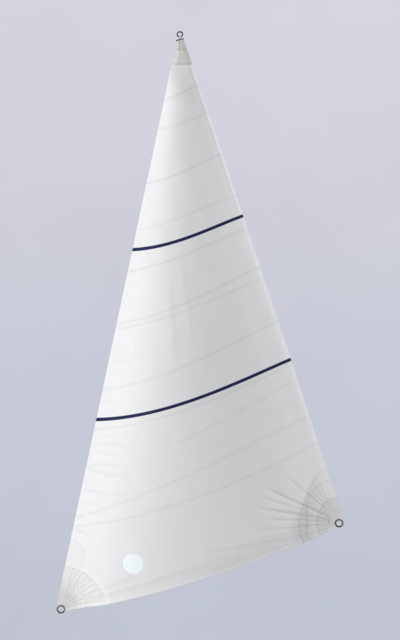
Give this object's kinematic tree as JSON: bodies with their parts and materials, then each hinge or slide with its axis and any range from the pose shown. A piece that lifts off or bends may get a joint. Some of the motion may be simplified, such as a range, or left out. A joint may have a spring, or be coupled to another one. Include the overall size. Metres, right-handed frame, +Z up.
{
  "type": "roller-furling genoa sail",
  "caption": "Triangular roller-furling headsail, set and full of wind, with lapped cloth panels, dark stripes, layered corner patches and a ring at each corner.",
  "frame": {"origin": "centre of the head ring, from which the sail hangs; the centres of the three corner rings lie in the plane Y = 0", "axes": "+Z up; +X from the luff, the front edge, towards the leech, the back edge; +Y to leeward, the side to which the sail bellies out"},
  "size_m": [2.7913, 0.3064, 5.9184],
  "materials": {
    "sailcloth": "woven polyester, resin finish",
    "patch_cloth": "woven polyester, sewn layers",
    "stripe_tape": "matt navy tape",
    "round_patch": "smooth pale self-adhesive cloth",
    "webbing": "grey woven webbing",
    "band_tape": "dark woven tape",
    "ring_steel": "satin"
  },
  "bodies": {
    "root": {"panel_1": "sailcloth", "panel_2": "sailcloth", "panel_3": "sailcloth", "panel_4": "sailcloth", "panel_5": "sailcloth", "panel_6": "sailcloth", "tack_patch_1": "patch_cloth", "tack_patch_2": "patch_cloth", "tack_patch_3": "patch_cloth", "clew_patch_1": "patch_cloth", "clew_patch_2": "patch_cloth", "clew_patch_3": "patch_cloth", "head_patch_1": "patch_cloth", "head_patch_2": "patch_cloth", "stripe_lower": "stripe_tape", "stripe_upper": "stripe_tape", "round_patch": "round_patch", "head_strap": "webbing", "head_band": "band_tape", "tack_ring": "ring_steel", "clew_ring": "ring_steel", "head_ring": "ring_steel"}
  },
  "joints": []
}
